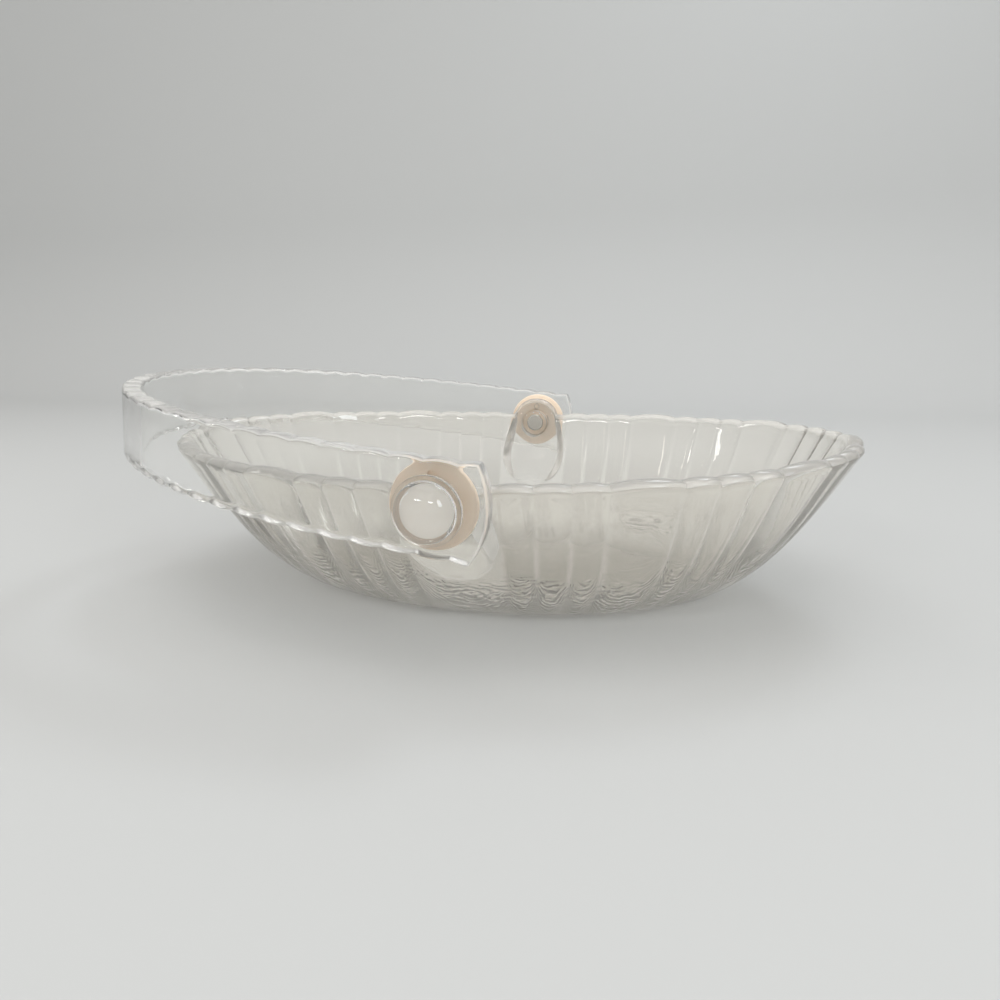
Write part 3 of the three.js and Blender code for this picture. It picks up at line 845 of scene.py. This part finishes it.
def maths(tree, operation, first, second=0):
    """Result of a sum on two values, each a number or another node's output."""
    made = node(tree, "ShaderNodeMath", operation=operation)
    for socket, value in zip(made.inputs, (first, second)):
        if isinstance(value, (int, float)):
            socket.default_value = value
        else:
            tree.links.new(value, socket)
    return made.outputs["Value"]


def faded(tree, value, none_at, full_at):
    """Runs from 0 where the value is at none_at to 1 where it is at full_at."""
    made = node(tree, "ShaderNodeMapRange", {"From Min": none_at, "From Max": full_at})
    made.interpolation_type = "SMOOTHSTEP"
    tree.links.new(value, made.inputs["Value"])
    return made.outputs["Result"]


def mixed(tree, share, first, second):
    """Colour between two, each given as a value or as another node's output."""
    made = node(tree, "ShaderNodeMix", data_type="RGBA")
    tree.links.new(share, made.inputs["Factor"])
    for socket, colour in zip(made.inputs[6:8], (first, second)):
        if isinstance(colour, tuple):
            socket.default_value = colour
        else:
            tree.links.new(colour, socket)
    return made.outputs[2]


def ramp(tree, share, first, second):
    """Colour that runs from the first to the second."""
    made = node(tree, "ShaderNodeValToRGB")
    made.color_ramp.elements[0].color = first
    made.color_ramp.elements[1].color = second
    tree.links.new(share, made.inputs["Fac"])
    return made.outputs["Color"]


def bumped(tree, height, strength, depth, under=None):
    """Normal that follows the height, on top of another normal if one is given."""
    made = node(tree, "ShaderNodeBump", {"Strength": strength, "Distance": depth})
    tree.links.new(height, made.inputs["Height"])
    if under is not None:
        tree.links.new(under, made.inputs["Normal"])
    return made.outputs["Normal"]


def roughen(tree, shader, noise, noise_range, roughness_range):
    """Makes the roughness follow the noise, from one range to the other."""
    made = node(tree, "ShaderNodeMapRange")
    names = ("From Min", "From Max", "To Min", "To Max")
    for name, value in zip(names, (*noise_range, *roughness_range)):
        made.inputs[name].default_value = value
    tree.links.new(noise, made.inputs["Value"])
    tree.links.new(made.outputs["Result"], shader.inputs["Roughness"])


# Finishes

def wall_place(tree):
    """Height above the foot, how far the lobe stands out there, and how far the wrinkles sag."""
    where = node(tree, "ShaderNodeTexCoord")
    split = node(tree, "ShaderNodeSeparateXYZ")
    tree.links.new(where.outputs["Object"], split.inputs["Vector"])
    rise = node(tree, "ShaderNodeAttribute", attribute_name="lobe_rise")
    sag = node(tree, "ShaderNodeAttribute", attribute_name="wrinkle_sag")
    return split.outputs["Z"], rise.outputs["Fac"], sag.outputs["Fac"]


def chill_wrinkles(tree, height, rise, sag):
    """Height of the wrinkles in the lower wall, which hang in nested curves between the smooth grooves."""
    level = maths(tree, "ADD", maths(tree, "MULTIPLY", sag, WRINKLE_SAG), height)
    for waves, reach in WRINKLE_WANDERS:
        wander = maths(tree, "MULTIPLY", place_noise(tree, scale=waves, detail=2), reach)
        level = maths(tree, "ADD", level, wander)
    lines = maths(tree, "SINE", maths(tree, "MULTIPLY", level, 2 * math.pi / WRINKLE_PITCH))
    patches = faded(tree, place_noise(tree, scale=WRINKLE_PATCHES, detail=2), *WRINKLE_PATCH_FADE)
    strength = maths(tree, "MULTIPLY", patches, faded(tree, rise, *WRINKLE_GROOVE_FADE))
    for fade in (WRINKLE_TOP_FADE, WRINKLE_FOOT_FADE):
        strength = maths(tree, "MULTIPLY", strength, faded(tree, height, *fade))
    return maths(tree, "MULTIPLY", lines, strength)


def glass_tint_with_painted_light_and_shade(tree, height, rise, wrinkles):
    """Nearly clear, with painted shade darker on a lobe's thick middle so the grooves read pale and darker in
    the lower wall, painted light paler at the foot, and painted shade on the wrinkles' crests.
    """
    # painted shade, darker towards the bottom of the wall, with a share of it kept at the rim
    lower = maths(tree, "MULTIPLY", faded(tree, height, *SHADE_TOP_FADE), 1 - SHADE_AT_RIM)
    low = maths(tree, "ADD", lower, SHADE_AT_RIM)
    # painted light, taking the painted shade off again at the foot
    foot = maths(tree, "MULTIPLY", faded(tree, height, *LIT_FOOT_FADE), LIT_AT_FOOT)
    paler = maths(tree, "SUBTRACT", 1, foot)
    # painted shade on the lobes' thick middles, so the grooves read pale
    thick = faded(tree, rise, *SHADE_GROOVE_FADE)
    painted_shade = maths(tree, "MULTIPLY", maths(tree, "MULTIPLY", low, paler), thick)
    # mixes the clear tint with the painted shade
    colour = mixed(tree, painted_shade, GLASS_CLEAR, GLASS_SHADED)
    # painted shade along the wrinkles' crests
    crests = faded(tree, wrinkles, *CREST_SHADE_FADE)
    return mixed(tree, crests, colour, GLASS_WRINKLE_SHADE)


def glass_finish():
    """Pressed, fire-polished glass, faintly milky, with soft waves and, near the foot, chill wrinkles; its
    colour holds painted shade and painted light.
    """
    material, tree, shader = clear_principled("pressed_glass", GLASS_CLARITY, GLASS_INDEX)
    height, rise, sag = wall_place(tree)
    wrinkles = chill_wrinkles(tree, height, rise, sag)
    waves = bumped(tree, place_noise(tree, scale=90, detail=2), strength=0.15, depth=0.0006)
    normal = bumped(tree, wrinkles, strength=0.5, depth=0.0005, under=waves)
    tree.links.new(normal, shader.inputs["Normal"])
    # the colour holds painted shade and painted light
    tree.links.new(glass_tint_with_painted_light_and_shade(tree, height, rise, wrinkles), shader.inputs["Base Color"])
    smears = place_noise(tree, scale=35, detail=4)
    roughen(tree, shader, smears, noise_range=(0.4, 0.8), roughness_range=(0.0, 0.05))
    return material


def acrylic_finish():
    """Clear cast acrylic with a faint polish and small handling marks."""
    material, tree, shader = clear_principled("clear_acrylic", ACRYLIC_CLARITY, ACRYLIC_INDEX)
    shader.inputs["Base Color"].default_value = CLEAR_ACRYLIC
    marks = place_noise(tree, scale=60, detail=6)
    roughen(tree, shader, marks, noise_range=(0.35, 0.8), roughness_range=(0.0, 0.07))
    polish = place_noise(tree, scale=55, detail=1)
    tree.links.new(bumped(tree, polish, strength=0.12, depth=0.0006), shader.inputs["Normal"])
    return material


def satin_finish(name, colour, index, clarity):
    """Where a clear piece was ground or sawn and only flamed over: whiter and less clear than its faces."""
    material, tree, shader = clear_principled(name, clarity, index)
    shader.inputs["Base Color"].default_value = colour
    grain = place_noise(tree, scale=260, detail=4)
    roughen(tree, shader, grain, noise_range=(0.3, 0.7), roughness_range=(0.06, 0.18))
    return material


def frosted_finish():
    """The same acrylic where it was turned and left unpolished, on the studs' backs and shanks."""
    material, tree, shader = clear_principled("frosted_acrylic", FROST_CLARITY, ACRYLIC_INDEX)
    haze = place_noise(tree, scale=500, detail=3)
    colour = ramp(tree, haze, FROST_DARK, FROST_PALE)
    tree.links.new(colour, shader.inputs["Base Color"])
    roughen(tree, shader, haze, noise_range=(0.3, 0.7), roughness_range=(0.45, 0.6))
    return material


def vinyl_finish():
    """Soft cloudy vinyl, pink-amber."""
    material, tree, shader = clear_principled("amber_vinyl", VINYL_CLARITY, VINYL_INDEX)
    cloud = place_noise(tree, scale=220, detail=3)
    colour = ramp(tree, cloud, VINYL_DARK, VINYL_PALE)
    tree.links.new(colour, shader.inputs["Base Color"])
    roughen(tree, shader, cloud, noise_range=(0.3, 0.7), roughness_range=(0.3, 0.5))
    return material


def paper_finish():
    material, _, shader = principled("pale_paper")
    shader.inputs["Base Color"].default_value = PAPER
    shader.inputs["Roughness"].default_value = 0.9
    return material


# Stage

def make_backdrop():
    """Pale floor that curves up into a wall behind the object."""
    bend = FLOOR_LINES[-1]
    line = [(y, FLOOR_LEVEL) for y in FLOOR_LINES]
    for turn in np.linspace(0, math.pi / 2, BEND_STEPS + 1)[1:]:
        line.append((bend + BEND_RADIUS * math.sin(turn), FLOOR_LEVEL + BEND_RADIUS * (1 - math.cos(turn))))
    line.append((bend + BEND_RADIUS, WALL_TOP))
    points = [(x / MM, y / MM, z / MM) for y, z in line for x in (-STAGE_HALF_WIDTH, STAGE_HALF_WIDTH)]
    faces = [(2 * i, 2 * i + 1, 2 * i + 3, 2 * i + 2) for i in range(len(line) - 1)]
    backdrop = new_object("backdrop", points, faces, sharp_degrees=60)
    finish_with(backdrop, [paper_finish()])


def area_light(name, place, target, size, power, colour):
    data = bpy.data.lights.new(name, "AREA")
    data.shape = "RECTANGLE"
    data.size, data.size_y = size
    data.energy = power
    data.color = colour
    light = bpy.data.objects.new(name, data)
    light.location = place
    aim = Vector(target) - Vector(place)
    light.rotation_euler = aim.to_track_quat("-Z", "Y").to_euler()
    bpy.context.scene.collection.objects.link(light)


def light_stage():
    """Soft light from all round that grows towards the top, with small bright panels for highlights."""
    world = bpy.data.worlds.new("studio")
    bpy.context.scene.world = world
    world.use_nodes = True
    tree = world.node_tree
    direction = node(tree, "ShaderNodeTexCoord")
    split = node(tree, "ShaderNodeSeparateXYZ")
    tree.links.new(direction.outputs["Generated"], split.inputs["Vector"])
    sky = ramp(tree, split.outputs["Z"], SKY_LOW, SKY_HIGH)
    tree.links.new(sky, tree.nodes["Background"].inputs["Color"])
    for lamp in LAMPS:
        area_light(*lamp)


def make_camera():
    camera = bpy.data.objects.new("camera", bpy.data.cameras.new("camera"))
    camera.data.sensor_width = SENSOR_WIDTH
    camera.data.lens = SENSOR_WIDTH * CAMERA_FOCAL_SHARE
    camera.data.clip_start = 0.01
    level = math.cos(CAMERA_PITCH)
    forward = Vector((math.sin(CAMERA_YAW) * level, math.cos(CAMERA_YAW) * level, -math.sin(CAMERA_PITCH)))
    right = Vector((math.cos(CAMERA_YAW), -math.sin(CAMERA_YAW), 0))
    up = right.cross(forward)
    across = math.cos(CAMERA_ROLL) * right + math.sin(CAMERA_ROLL) * up
    upright = math.cos(CAMERA_ROLL) * up - math.sin(CAMERA_ROLL) * right
    turn = Matrix((across, upright, -forward)).transposed().to_4x4()
    camera.matrix_world = Matrix.Translation(Vector(CAMERA_PLACE) * MM) @ turn
    bpy.context.scene.collection.objects.link(camera)
    bpy.context.scene.camera = camera


# Assembly

def dress(piece, node_name, body):
    """Lets the piece stand for a CAD node: puts it on that node's body and hides the node."""
    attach(piece, body)
    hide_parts(node_name)


glass = glass_finish()
acrylic = acrylic_finish()
frosted = frosted_finish()
vinyl = vinyl_finish()
flamed_rim = satin_finish("flamed_glass_rim", FLAMED_GLASS, GLASS_INDEX, RIM_CLARITY)
flamed_lug = satin_finish("flamed_glass_lug", FLAMED_GLASS, GLASS_INDEX, LUG_SIDE_CLARITY)
flamed_edge = satin_finish("flamed_acrylic_edge", FLAMED_ACRYLIC, ACRYLIC_INDEX, EDGE_CLARITY)

dress(make_bowl(glass, flamed_rim, flamed_lug), "glass_bowl", "bowl")
dress(make_handle(acrylic, flamed_edge), "swing_handle", "handle")
for end, side in (("front", -1), ("rear", 1)):
    knob = make_knob("basket_knob_" + end, side, acrylic, frosted)
    dress(knob, "pivot_knob_" + end, "bowl")
    washer = make_outer_washer("basket_washer_" + end, side, vinyl)
    dress(washer, "outer_washer_" + end, "bowl")
    seal = make_inner_washer("basket_seal_" + end, side, vinyl)
    dress(seal, "inner_washer_" + end, "bowl")
    nut = make_cap_nut("basket_nut_" + end, side, acrylic)
    dress(nut, "cap_nut_" + end, "bowl")

make_backdrop()
light_stage()
make_camera()
bpy.context.scene.view_settings.view_transform = "Standard"
bpy.context.scene.cycles.max_bounces = LIGHT_BOUNCES
bpy.context.scene.cycles.transmission_bounces = LIGHT_BOUNCES
